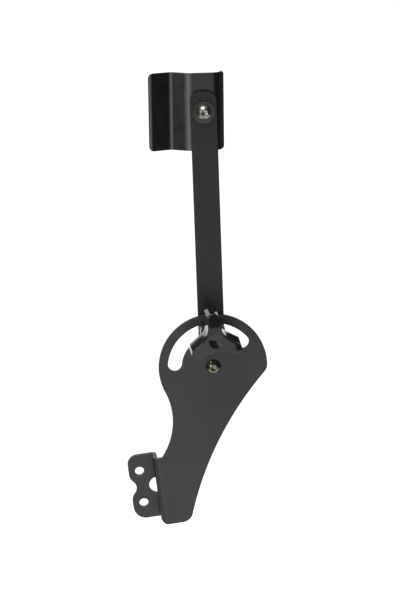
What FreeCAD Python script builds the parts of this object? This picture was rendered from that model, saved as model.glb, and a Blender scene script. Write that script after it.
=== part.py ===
import FreeCAD, Part
import math
import os
import Sketcher
from FreeCAD import Placement, Rotation, Vector

# Bicycle wall rack. A bent steel bracket bolts to the wall by a small flange. A flat arm swings
# on it in a plane parallel to the wall, is clamped by a three-lobe knob through an arc slot, and
# carries a tilting cradle with a shallow trough for the tyre.
#
# Frame: the wall is the plane Y = 0, the rack stands out of it towards -Y, +Z is up, and the
# origin is midway between the flange's two holes. Sizes are millimetres and degrees.

SIZES = [
    # bracket sheet
    ("plate_thickness", 5.0, "bracket sheet"),
    ("stand_off", 28.0, "wall to the plate's front face"),
    ("bend_inside", 2.0, "inside radius of the two bends"),
    ("web_left", 17.5, "origin to the web's left face"),
    ("leg_top", 40.0, "origin up to the top of web and flange"),
    ("flange_bottom", 39.3, "origin down to the bottom of web and flange"),
    ("leg_bottom", 43.0, "origin down to the plate's lower edge"),
    ("leg_left_corner", 8.0, "radius of the leg's lower left corner"),
    ("leg_right_corner", 13.0, "radius of the leg's lower right corner"),
    ("flange_left", 13.0, "origin to the flange's left edge"),
    ("flange_corner", 12.0, "radius of the flange's upper corner and of its waist"),
    ("flange_low_corner", 15.0, "radius of the flange's lower corner"),
    ("waist_depth", 7.0, "depth of the waist in the flange's left edge"),
    ("wall_hole_spacing", 40.0, "distance between the two wall holes"),
    ("wall_hole_radius", 5.5, "clearance hole for a 10 mm screw"),
    ("relief_radius", 10.0, "relief hole on the rear bend"),
    ("relief_across", 19.0, "origin to the relief hole's centre"),
    # bracket head
    ("pivot_across", 101.0, "origin to the pivot, along X"),
    ("pivot_up", 142.0, "origin to the pivot, along Z"),
    ("head_radius", 63.2, "round head of the plate"),
    ("waist_across", 34.6, "origin to the waist arc's centre, towards -X"),
    ("waist_up", 92.0, "origin to the waist arc's centre, along Z"),
    ("flank_radius", 400.4, "long hollow edge on the right"),
    ("flank_across", 433.0, "origin to the flank arc's centre, along X"),
    ("flank_down", 165.5, "origin to the flank arc's centre, towards -Z"),
    ("shoulder_radius", 14.0, "corner between head and flank"),
    ("slot_radius", 44.5, "pivot to the middle of the arc slot"),
    ("slot_half_width", 8.2, "half the slot's width"),
    ("slot_left", 78.0, "slot end, degrees from straight up towards -X"),
    ("slot_right", 56.0, "slot end, degrees from straight up towards +X"),
    ("edge_round", 0.6, "rounding of the cut edges of the sheets"),
    # arm
    ("arm_lean", 5.15, "degrees the arm leans towards +X"),
    ("arm_width", 30.0, "flat bar"),
    ("arm_thickness", 4.5, "flat bar"),
    ("arm_reach", 298.0, "pivot to the cradle bolt"),
    ("arm_tail", 20.0, "bar beyond the pivot"),
    ("arm_head", 23.0, "bar beyond the cradle bolt"),
    ("arm_corner", 11.0, "radius of the bar's corners"),
    ("arm_gap", 1.0, "space between plate and arm, and between arm and cradle"),
    # cradle, drawn about its bolt
    ("cradle_lean", 1.3, "degrees the cradle leans further than the arm"),
    ("cradle_sheet", 3.0, "cradle sheet"),
    ("cradle_up", 43.4, "bolt to the cradle's top edge"),
    ("cradle_down", 45.3, "bolt to the cradle's bottom edge"),
    ("cradle_left", 61.5, "bolt to the outer edge of the lip"),
    ("lip_across", 58.5, "bolt to the crest of the lip"),
    ("lip_depth", 3.5, "web's front face back to the lip's crest"),
    ("lip_radius", 4.5, "front face radius of the lip"),
    ("valley_across", 36.5, "bolt to the bottom of the trough"),
    ("trough_depth", 10.3, "web's front face to the bottom of the trough"),
    ("trough_radius", 6.0, "front face radius in the trough"),
    ("ridge_across", 10.7, "bolt to where the flat web starts"),
    ("ridge_radius", 22.0, "front face radius of the ridge"),
    ("web_right", 10.5, "bolt to where the flat web ends"),
    ("cradle_fold", 12.0, "front face radius of the fold into the rear flange"),
    ("cradle_fold_angle", 62.0, "degrees of that fold"),
    ("cradle_right", 24.7, "bolt to the outer edge of the rear flange"),
    ("cradle_corner", 6.0, "radius of the lip's corners"),
    ("cradle_rear_corner", 3.5, "radius of the rear flange's corners"),
    # ten millimetre fasteners
    ("shank_radius", 5.0, "bolts"),
    ("bore_radius", 5.05, "running fit on the bolts"),
    ("clearance_radius", 5.3, "loose fit on the bolts"),
    ("bolt_length", 22.0, "under the button head"),
    ("button_radius", 8.75, "button head"),
    ("button_height", 5.5, "button head"),
    ("button_flat", 3.9, "where the dome ends, round the socket"),
    ("socket_across", 6.0, "hexagon socket, across flats"),
    ("socket_depth", 3.0, "hexagon socket"),
    ("nut_across", 16.0, "lock nut, across flats"),
    ("nut_height", 8.0, "lock nut"),
    ("nut_chamfer", 0.75, "taper of the nut's rear corners, along its axis"),
    ("collar_outer", 6.8, "nylon ring in the lock nut"),
    ("collar_height", 2.2, "nylon ring in the lock nut"),
    ("flat_washer_radius", 10.0, "steel washers behind arm and cradle"),
    ("front_washer_radius", 12.5, "washer under the cradle bolt's head"),
    ("washer_thickness", 2.0, "steel washers"),
    ("friction_thickness", 0.9, "nylon washers"),
    ("pivot_friction_radius", 14.0, "nylon washers at the pivot and the clamp"),
    ("cradle_friction_radius", 10.5, "nylon washer at the cradle"),
    ("running_gap", 0.05, "space between faces that slide on each other"),
    # clamp
    ("bush_radius", 7.9, "bush in the arc slot"),
    ("bush_length", 5.8, "bush in the arc slot"),
    ("bush_hole", 8.05, "clamp friction washer's hole, round the bush"),
    ("neck_square", 10.0, "square neck of the clamp bolt"),
    ("neck_hole", 10.2, "square hole in the arm"),
    ("clamp_head_radius", 10.5, "clamp bolt's domed head"),
    ("clamp_head_height", 5.0, "clamp bolt's domed head"),
    ("clamp_shank", 45.5, "clamp bolt in front of its square neck"),
    ("clamp_washer_radius", 15.0, "washer under the knob"),
    ("clamp_washer_thickness", 3.0, "washer under the knob"),
    ("knob_tip_radius", 32.0, "knob, out to its lobes' tips"),
    ("knob_neck_radius", 14.5, "round neck behind the lobes"),
    ("knob_neck_length", 11.0, "round neck behind the lobes"),
    ("knob_lobe_length", 35.0, "lobes, along the knob's axis"),
    ("knob_scoop_radius", 25.0, "hollow between two lobes"),
    ("knob_scoop_centre", 37.0, "knob's axis to the hollow's centre"),
    ("knob_lobe_taper", 5.0, "degrees each side of a lobe leans in towards its tip"),
    ("knob_dome_radius", 160.0, "crowned front face"),
    ("knob_tip_round", 3.0, "rounding of the lobes' corners"),
    ("knob_face_round", 1.2, "rounding of the front and rear faces' rims"),
    ("knob_turned_back", 5.15, "degrees the knob is turned back from the arm's lean"),
    ("knob_well_radius", 6.0, "clear hole over the bolt's end"),
    ("insert_radius", 8.0, "brass insert"),
    ("insert_length", 26.0, "brass insert"),
    ("cap_radius", 9.0, "press-in cap"),
    ("cap_thickness", 4.0, "press-in cap"),
    ("cap_dish_radius", 8.2, "cone-shaped dish in the cap's face"),
    ("cap_dish_depth", 3.2, "cone-shaped dish in the cap's face"),
]

doc = FreeCAD.newDocument("bicycle_wall_rack")
sheet = doc.addObject("Spreadsheet::Sheet", "Sizes")
for row, (alias, number, meaning) in enumerate(SIZES, start=1):
    sheet.set(f"A{row}", meaning)
    sheet.set(f"B{row}", str(number))
    sheet.setAlias(f"B{row}", alias)
doc.recompute()
size = {alias: float(sheet.get(alias)) for alias, _, _ in SIZES}

TOWARDS_VIEWER = Rotation(Vector(1, 0, 0), 90)  # turns a piece's own +Z to the rack's -Y
CENTRE = (-1, 1)  # the sketch's own origin, as a constraint names it
START, END, MIDDLE = 1, 2, 3
SHARP = 45  # degrees between two faces, above which their edge counts as sharp
NEAR = 1e-3  # millimetres within which two places count as one


# ---------------------------------------------------------------- drawing helpers


def new_body(label):
    """An empty body whose label is the sub-part's name."""
    body = doc.addObject("PartDesign::Body", label)
    body.Label = label
    return body


def new_sketch(body, plane, name, lift=None):
    """A sketch on one of the body's own origin planes, lifted along its normal."""
    sketch = body.newObject("Sketcher::SketchObject", name)
    support = next(part for part in body.Origin.OriginFeatures if part.Role == plane)
    sketch.AttachmentSupport = [(support, "")]
    sketch.MapMode = "FlatFace"
    if lift:
        sketch.setExpression("AttachmentOffset.Base.z", lift)
    return sketch


def bind(sketch, kind, places, formula, value):
    """Add a dimension that follows the sheet."""
    index = sketch.addConstraint(Sketcher.Constraint(kind, *places, value))
    sketch.setExpression(f"Constraints[{index}]", formula)


def bind_size(sketch, kind, places, alias):
    """Add a dimension that is one of the sheet's sizes."""
    bind(sketch, kind, places, f"Sizes.{alias}", size[alias])


def circle(sketch, radius, across=None, up=None):
    """A circle. Across and up are (formula, value) from the sketch's origin."""
    x = across[1] if across else 0.0
    y = up[1] if up else 0.0
    geometry = Part.Circle(Vector(x, y, 0), Vector(0, 0, 1), size[radius])
    index = sketch.addGeometry(geometry)
    if across or up:
        nowhere = ("0 mm", 0.0)
        for kind, (formula, value) in (("DistanceX", across or nowhere), ("DistanceY", up or nowhere)):
            bind(sketch, kind, (*CENTRE, index, MIDDLE), formula, value)
    else:
        sketch.addConstraint(Sketcher.Constraint("Coincident", index, MIDDLE, *CENTRE))
    bind_size(sketch, "Radius", (index,), radius)


def run(start, end, smooth=False):
    """A straight piece of an outline."""
    line = Part.LineSegment(Vector(*start, 0), Vector(*end, 0))
    return line, START, END, smooth


def turn(centre, radius, start, end, smooth=True):
    """A round piece of an outline, from one angle to another, in degrees."""
    low, high = sorted((math.radians(start), math.radians(end)))
    arc = Part.ArcOfCircle(Part.Circle(Vector(*centre, 0), Vector(0, 0, 1), radius), low, high)
    if end > start:
        return arc, START, END, smooth
    return arc, END, START, smooth


def draw(sketch, pieces):
    """Draw a closed outline. Each piece says whether it runs smoothly into the next."""
    first = sketch.GeometryCount
    for piece in pieces:
        sketch.addGeometry(piece[0])
    for step, (_, _, leaves, smooth) in enumerate(pieces):
        following = (step + 1) % len(pieces)
        enters = pieces[following][1]
        kind = "Tangent" if smooth else "Coincident"
        join = Sketcher.Constraint(kind, first + step, leaves, first + following, enters)
        sketch.addConstraint(join)
    return first


def pad(body, sketch, length, name="Pad", towards_normal=True, middle=False):
    """Thicken a sketch by a formula's length."""
    feature = body.newObject("PartDesign::Pad", name)
    feature.Profile = sketch
    feature.setExpression("Length", length)
    feature.Reversed = not towards_normal
    feature.Midplane = middle
    doc.recompute()
    return feature


def pocket(body, sketch, length=None, name="Pocket", towards_normal=False):
    """Cut a sketch into the body by a formula's length, or both ways through all of it."""
    before = body.Shape.Volume
    feature = body.newObject("PartDesign::Pocket", name)
    feature.Profile = sketch
    if length:
        feature.setExpression("Length", length)
        feature.Reversed = towards_normal
    else:
        feature.Type = "ThroughAll"
        feature.Midplane = True
    doc.recompute()
    if body.Shape.Volume > before - NEAR:
        raise RuntimeError(f"{body.Label}: {name} cuts nothing")
    return feature


def sharp_edges(shape, chosen):
    """Names of the sharp edges whose middle passes a test."""
    names = []
    for index, edge in enumerate(shape.Edges, start=1):
        middle = edge.valueAt((edge.FirstParameter + edge.LastParameter) / 2)
        normals = []
        for face in shape.ancestorsOfType(edge, Part.Face):
            normals.append(face.normalAt(*face.Surface.parameter(middle)))
        sharp = len(normals) == 2 and math.degrees(normals[0].getAngle(normals[1])) > SHARP
        if sharp and chosen(middle):
            names.append(f"Edge{index}")
    return names


def round_off(body, name, radius, chosen):
    """Round the sharp edges of the body so far whose middle passes a test."""
    base = body.Tip
    edges = sharp_edges(base.Shape, chosen)
    if not edges:
        raise RuntimeError(f"{body.Label}: {name} finds no edge")
    feature = body.newObject("PartDesign::Fillet", name)
    feature.Base = (base, edges)
    feature.setExpression("Radius", f"Sizes.{radius}")
    doc.recompute()
    return feature


def angle_of(centre, point):
    """Direction from a centre to a point, in degrees."""
    return math.degrees(math.atan2(point[1] - centre[1], point[0] - centre[0]))


def meeting(centre_a, radius_a, centre_b, radius_b, side):
    """Where two circles cross, on one side (+1 left, -1 right) of the line from a to b."""
    gap = math.dist(centre_a, centre_b)
    along = (radius_a**2 - radius_b**2 + gap**2) / (2 * gap)
    aside = math.sqrt(radius_a**2 - along**2) * side
    ux = (centre_b[0] - centre_a[0]) / gap
    uy = (centre_b[1] - centre_a[1]) / gap
    return centre_a[0] + along * ux - aside * uy, centre_a[1] + along * uy + aside * ux


# ---------------------------------------------------------------- bracket plate


def plate_outline(body):
    """Front view of the flat plate: head, waist, leg, flank and shoulder."""
    pivot = (size["pivot_across"], size["pivot_up"])
    waist = (-size["waist_across"], size["waist_up"])
    flank = (size["flank_across"], -size["flank_down"])
    waist_radius = math.dist(pivot, waist) - size["head_radius"]
    fold = size["web_left"] + size["plate_thickness"] + size["bend_inside"]
    shoulder = meeting(
        pivot,
        size["head_radius"] - size["shoulder_radius"],
        flank,
        size["flank_radius"] + size["shoulder_radius"],
        1,
    )
    corner_up = -size["leg_bottom"] + size["leg_right_corner"]
    reach = size["flank_radius"] + size["leg_right_corner"]
    corner = (flank[0] - math.sqrt(reach**2 - (corner_up - flank[1]) ** 2), corner_up)
    drop = math.asin((size["leg_top"] - waist[1]) / waist_radius)
    waist_end = (waist[0] + waist_radius * math.cos(drop), size["leg_top"])
    sketch = new_sketch(body, "XZ_Plane", "PlateOutline", "Sizes.stand_off")
    head_start = angle_of(pivot, shoulder)
    flank_top = angle_of(flank, shoulder)
    flank_foot = angle_of(flank, corner)
    pieces = [
        turn(pivot, size["head_radius"], head_start, 360 + angle_of(pivot, waist)),
        turn(waist, waist_radius, angle_of(waist, pivot), math.degrees(drop), smooth=False),
        run(waist_end, (fold, size["leg_top"])),
        run((fold, size["leg_top"]), (fold, -size["leg_bottom"])),
        run((fold, -size["leg_bottom"]), (corner[0], -size["leg_bottom"]), smooth=True),
        turn(corner, size["leg_right_corner"], -90, flank_foot - 180),
        turn(flank, size["flank_radius"], flank_foot, flank_top),
        turn(shoulder, size["shoulder_radius"], flank_top - 180, head_start),
    ]
    first = draw(sketch, pieces)
    head, waist_arc, shelf, left, bottom, foot, flank_arc, shoulder_arc = range(first, first + 8)
    bind_size(sketch, "DistanceX", (*CENTRE, head, MIDDLE), "pivot_across")
    bind_size(sketch, "DistanceY", (*CENTRE, head, MIDDLE), "pivot_up")
    bind_size(sketch, "Radius", (head,), "head_radius")
    bind_size(sketch, "DistanceX", (waist_arc, MIDDLE, *CENTRE), "waist_across")
    bind_size(sketch, "DistanceY", (*CENTRE, waist_arc, MIDDLE), "waist_up")
    for line in (shelf, bottom):
        sketch.addConstraint(Sketcher.Constraint("Horizontal", line))
    sketch.addConstraint(Sketcher.Constraint("Vertical", left))
    bind_size(sketch, "DistanceY", (*CENTRE, left, START), "leg_top")
    bind_size(sketch, "DistanceY", (left, END, *CENTRE), "leg_bottom")
    formula = "Sizes.web_left + Sizes.plate_thickness + Sizes.bend_inside"
    bind(sketch, "DistanceX", (*CENTRE, left, START), formula, fold)
    bind_size(sketch, "Radius", (foot,), "leg_right_corner")
    bind_size(sketch, "Radius", (flank_arc,), "flank_radius")
    bind_size(sketch, "DistanceX", (*CENTRE, flank_arc, MIDDLE), "flank_across")
    bind_size(sketch, "DistanceY", (flank_arc, MIDDLE, *CENTRE), "flank_down")
    bind_size(sketch, "Radius", (shoulder_arc,), "shoulder_radius")
    return sketch


def bend_profile(body):
    """Top view of the folded strip: plate edge, front bend, web, rear bend and flange."""
    inside = size["bend_inside"]
    thick = size["plate_thickness"]
    outside = inside + thick
    left = size["web_left"]
    front = -size["stand_off"]
    front_centre = (left + outside, front + outside)
    rear_centre = (left - inside, -outside)
    sketch = new_sketch(body, "XY_Plane", "BendProfile", "-Sizes.leg_bottom")
    pieces = [
        run((front_centre[0], front + thick), (front_centre[0], front)),
        turn(front_centre, outside, 270, 180),
        run((left, front_centre[1]), (left, rear_centre[1]), smooth=True),
        turn(rear_centre, inside, 0, 90),
        run((rear_centre[0], -thick), (-size["flange_left"], -thick)),
        run((-size["flange_left"], -thick), (-size["flange_left"], 0)),
        run((-size["flange_left"], 0), (rear_centre[0], 0), smooth=True),
        turn(rear_centre, outside, 90, 0),
        run((left + thick, rear_centre[1]), (left + thick, front_centre[1]), smooth=True),
        turn(front_centre, inside, 180, 270, smooth=False),
    ]
    first = draw(sketch, pieces)
    edge, outer_front, web, inner_rear, face = range(first, first + 5)
    end, wall, outer_rear, _, inner_front = range(first + 5, first + 10)
    for line in (edge, web, end):
        sketch.addConstraint(Sketcher.Constraint("Vertical", line))
    for line in (face, wall):
        sketch.addConstraint(Sketcher.Constraint("Horizontal", line))
    for outer, inner in ((outer_front, inner_front), (outer_rear, inner_rear)):
        sketch.addConstraint(Sketcher.Constraint("Coincident", outer, MIDDLE, inner, MIDDLE))
    sketch.addConstraint(Sketcher.Constraint("PointOnObject", wall, END, -1))
    bind_size(sketch, "DistanceX", (end, START, *CENTRE), "flange_left")
    bind_size(sketch, "DistanceX", (*CENTRE, web, START), "web_left")
    bind_size(sketch, "DistanceY", (edge, END, *CENTRE), "stand_off")
    bind_size(sketch, "DistanceY", (end, START, end, END), "plate_thickness")
    bind_size(sketch, "Radius", (inner_rear,), "bend_inside")
    bind_size(sketch, "Radius", (inner_front,), "bend_inside")
    return sketch


def flange_trim(body):
    """What is cut away round the flange: its corners, its waist and the strip below it."""
    left = -size["flange_left"]
    low = -size["flange_bottom"]
    top = size["leg_top"]
    r = size["flange_corner"]
    low_r = size["flange_low_corner"]
    waist = (left + size["waist_depth"] - r, 0.0)
    rise = math.sqrt((2 * r) ** 2 - (left + r - waist[0]) ** 2)
    margin = 20.0
    far_left = left - margin
    far_right = size["web_left"] + margin
    shoulder_angle = angle_of((left + r, rise), waist) % 360
    lower_angle = 360 - shoulder_angle
    sketch = new_sketch(body, "XZ_Plane", "FlangeTrim")
    pieces = [
        run((far_left, top + margin), (far_left, low - margin)),
        run((far_left, low - margin), (far_right, low - margin)),
        run((far_right, low - margin), (far_right, low)),
        run((far_right, low), (left + low_r, low), smooth=True),
        turn((left + low_r, low + low_r), low_r, 270, 180),
        run((left, low + low_r), (left, -rise), smooth=True),
        turn((left + r, -rise), r, 180, lower_angle),
        turn(waist, r, lower_angle - 180, shoulder_angle - 180),
        turn((left + r, rise), r, shoulder_angle, 180),
        run((left, rise), (left, top - r), smooth=True),
        turn((left + r, top - r), r, 180, 90, smooth=False),
        run((left + r, top), (left + r, top + margin)),
        run((left + r, top + margin), (far_left, top + margin)),
    ]
    first = draw(sketch, pieces)
    bottom = first + 3
    low_corner, low_edge, low_side, hollow = range(first + 4, first + 8)
    high_side, high_edge, high_corner = range(first + 8, first + 11)
    bind_size(sketch, "Radius", (low_corner,), "flange_low_corner")
    for arc in (low_side, hollow, high_side, high_corner):
        bind_size(sketch, "Radius", (arc,), "flange_corner")
    for line in (first, low_edge, high_edge):
        sketch.addConstraint(Sketcher.Constraint("Vertical", line))
    sketch.addConstraint(Sketcher.Constraint("Horizontal", bottom))
    sketch.addConstraint(Sketcher.Constraint("PointOnObject", hollow, MIDDLE, -1))
    bind_size(sketch, "DistanceX", (low_edge, START, *CENTRE), "flange_left")
    bind_size(sketch, "DistanceX", (high_edge, START, *CENTRE), "flange_left")
    bind_size(sketch, "DistanceY", (bottom, START, *CENTRE), "flange_bottom")
    bind_size(sketch, "DistanceY", (*CENTRE, high_corner, START), "leg_top")
    formula = "Sizes.flange_left - Sizes.waist_depth + Sizes.flange_corner"
    bind(sketch, "DistanceX", (hollow, MIDDLE, *CENTRE), formula, -waist[0])
    return sketch


def corner_trim(body):
    """What is cut away outside the leg's rounded lower left corner."""
    left = size["web_left"]
    low = -size["leg_bottom"]
    r = size["leg_left_corner"]
    margin = 2.0
    sketch = new_sketch(body, "XZ_Plane", "CornerTrim", "Sizes.stand_off")
    pieces = [
        run((left - margin, low + r), (left - margin, low - margin)),
        run((left - margin, low - margin), (left + r, low - margin)),
        run((left + r, low - margin), (left + r, low)),
        turn((left + r, low + r), r, 270, 180, smooth=False),
        run((left, low + r), (left - margin, low + r)),
    ]
    first = draw(sketch, pieces)
    arc = first + 3
    bind_size(sketch, "Radius", (arc,), "leg_left_corner")
    formula = "Sizes.web_left + Sizes.leg_left_corner"
    bind(sketch, "DistanceX", (*CENTRE, arc, MIDDLE), formula, left + r)
    formula = "Sizes.leg_bottom - Sizes.leg_left_corner"
    bind(sketch, "DistanceY", (arc, MIDDLE, *CENTRE), formula, -low - r)
    return sketch


def arc_slot(body):
    """The arc slot round the pivot."""
    pivot = (size["pivot_across"], size["pivot_up"])
    middle = size["slot_radius"]
    half = size["slot_half_width"]
    right = 90 - size["slot_right"]
    left = 90 + size["slot_left"]
    ends = []
    for angle in (right, left):
        direction = (math.cos(math.radians(angle)), math.sin(math.radians(angle)))
        ends.append((pivot[0] + middle * direction[0], pivot[1] + middle * direction[1]))
    sketch = new_sketch(body, "XZ_Plane", "ArcSlot", "Sizes.stand_off")
    pieces = [
        turn(pivot, middle + half, right, left),
        turn(ends[1], half, left, left + 180),
        turn(pivot, middle - half, left, right),
        turn(ends[0], half, right + 180, right + 360),
    ]
    first = draw(sketch, pieces)
    outer, left_cap, inner, right_cap = range(first, first + 4)
    sketch.addConstraint(Sketcher.Constraint("Coincident", outer, MIDDLE, inner, MIDDLE))
    bind_size(sketch, "DistanceX", (*CENTRE, outer, MIDDLE), "pivot_across")
    bind_size(sketch, "DistanceY", (*CENTRE, outer, MIDDLE), "pivot_up")
    bind(sketch, "Radius", (outer,), "Sizes.slot_radius + Sizes.slot_half_width", middle + half)
    bind(sketch, "Radius", (inner,), "Sizes.slot_radius - Sizes.slot_half_width", middle - half)
    for cap, end in ((left_cap, ends[1]), (right_cap, ends[0])):
        name = "slot_left" if cap == left_cap else "slot_right"
        formula = f"Sizes.pivot_up + Sizes.slot_radius * cos(Sizes.{name} * 1 deg)"
        bind(sketch, "DistanceY", (*CENTRE, cap, MIDDLE), formula, end[1])
    return sketch


def near_slot(point):
    """Whether a point is on the plate's slot."""
    reach = math.hypot(point.x - size["pivot_across"], point.z - size["pivot_up"])
    wide = size["slot_half_width"] + 1
    on_face = abs(point.y + size["stand_off"]) < NEAR
    on_back = abs(point.y + size["stand_off"] - size["plate_thickness"]) < NEAR
    return (on_face or on_back) and abs(reach - size["slot_radius"]) < wide


def make_bracket():
    """The bent bracket: plate with head, slot and leg, web, and wall flange."""
    body = new_body("bracket_plate")
    pad(body, plate_outline(body), "Sizes.plate_thickness", "Plate", towards_normal=False)
    fold = size["web_left"] + size["plate_thickness"] + size["bend_inside"]
    front = -size["stand_off"]
    back = front + size["plate_thickness"]

    def on_plate_rim(point):
        on_face = min(abs(point.y - front), abs(point.y - back)) < NEAR
        return on_face and point.x > fold + 1 and abs(point.z - size["leg_top"]) > NEAR

    round_off(body, "PlateRim", "edge_round", on_plate_rim)
    pad(body, bend_profile(body), "Sizes.leg_top + Sizes.leg_bottom", "Strip")
    depth = "Sizes.stand_off - Sizes.plate_thickness - Sizes.bend_inside"
    pocket(body, flange_trim(body), depth, "FlangeOutline", towards_normal=True)
    depth = "Sizes.plate_thickness + Sizes.bend_inside"
    pocket(body, corner_trim(body), depth, "LegCorner")
    holes = new_sketch(body, "XZ_Plane", "WallHoles")
    half = size["wall_hole_spacing"] / 2
    circle(holes, "wall_hole_radius", up=("Sizes.wall_hole_spacing / 2", half))
    circle(holes, "wall_hole_radius", up=("-Sizes.wall_hole_spacing / 2", -half))
    pocket(body, holes, "Sizes.plate_thickness", "Holes", towards_normal=True)
    relief = new_sketch(body, "XZ_Plane", "FlangeRelief")
    across = ("Sizes.relief_across", size["relief_across"])
    circle(relief, "relief_radius", across=across)
    depth = "Sizes.plate_thickness + Sizes.bend_inside"
    pocket(body, relief, depth, "ReliefInFlange", towards_normal=True)
    relief = new_sketch(body, "YZ_Plane", "WebRelief", "Sizes.web_left")
    circle(relief, "relief_radius")
    pocket(body, relief, "Sizes.plate_thickness", "ReliefInWeb", towards_normal=True)
    pocket(body, arc_slot(body), "Sizes.plate_thickness", "Slot")
    round_off(body, "SlotRim", "edge_round", near_slot)
    pivot = new_sketch(body, "XZ_Plane", "PivotHole", "Sizes.stand_off")
    across = ("Sizes.pivot_across", size["pivot_across"])
    circle(pivot, "clearance_radius", across, ("Sizes.pivot_up", size["pivot_up"]))
    pocket(body, pivot, "Sizes.plate_thickness", "Pivot")
    return body


# ---------------------------------------------------------------- arm and cradle


def make_arm(place):
    """The flat bar, drawn upright from the pivot."""
    body = new_body("arm_bar")
    half = size["arm_width"] / 2
    low = -size["arm_tail"]
    top = size["arm_reach"] + size["arm_head"]
    r = size["arm_corner"]
    outline = new_sketch(body, "XZ_Plane", "BarOutline")
    pieces = [
        run((-half + r, low), (half - r, low), smooth=True),
        turn((half - r, low + r), r, 270, 360),
        run((half, low + r), (half, top - r), smooth=True),
        turn((half - r, top - r), r, 0, 90),
        run((half - r, top), (-half + r, top), smooth=True),
        turn((-half + r, top - r), r, 90, 180),
        run((-half, top - r), (-half, low + r), smooth=True),
        turn((-half + r, low + r), r, 180, 270),
    ]
    first = draw(outline, pieces)
    bottom, right, upper, left = first, first + 2, first + 4, first + 6
    for corner in (first + 1, first + 3, first + 5, first + 7):
        bind_size(outline, "Radius", (corner,), "arm_corner")
    outline.addConstraint(Sketcher.Constraint("Horizontal", bottom))
    outline.addConstraint(Sketcher.Constraint("Horizontal", upper))
    outline.addConstraint(Sketcher.Constraint("Vertical", left))
    outline.addConstraint(Sketcher.Constraint("Vertical", right))
    bind(outline, "DistanceX", (*CENTRE, right, START), "Sizes.arm_width / 2", half)
    bind(outline, "DistanceX", (left, START, *CENTRE), "Sizes.arm_width / 2", half)
    bind_size(outline, "DistanceY", (bottom, START, *CENTRE), "arm_tail")
    bind(outline, "DistanceY", (*CENTRE, upper, START), "Sizes.arm_reach + Sizes.arm_head", top)
    pad(body, outline, "Sizes.arm_thickness", "Bar", towards_normal=True)
    round_off(body, "BarRim", "edge_round", lambda point: True)
    bores = new_sketch(body, "XZ_Plane", "Bores")
    circle(bores, "bore_radius")
    circle(bores, "bore_radius", up=("Sizes.arm_reach", size["arm_reach"]))
    pocket(body, bores, None, "BoltHoles")
    square = new_sketch(body, "XZ_Plane", "SquareHole")
    draw_square(square, "neck_hole", ("Sizes.slot_radius", size["slot_radius"]))
    pocket(body, square, None, "ClampHole")
    body.Placement = place
    return body


def draw_square(sketch, alias, up=None):
    """A square about a point straight above the sketch's origin."""
    half = size[alias] / 2
    middle = up[1] if up else 0.0
    corners = [(-half, middle - half), (half, middle - half), (half, middle + half), (-half, middle + half)]
    first = draw(sketch, [run(a, b) for a, b in zip(corners, corners[1:] + corners[:1])])
    bottom, right, top, left = range(first, first + 4)
    for line in (bottom, top):
        sketch.addConstraint(Sketcher.Constraint("Horizontal", line))
    for line in (left, right):
        sketch.addConstraint(Sketcher.Constraint("Vertical", line))
    bind_size(sketch, "DistanceX", (bottom, START, bottom, END), alias)
    bind_size(sketch, "DistanceY", (right, START, right, END), alias)
    bind(sketch, "DistanceX", (*CENTRE, right, START), f"Sizes.{alias} / 2", half)
    base = f"{up[0]} + " if up else ""
    bind(sketch, "DistanceY", (*CENTRE, right, END), f"{base}Sizes.{alias} / 2", middle + half)


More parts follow.
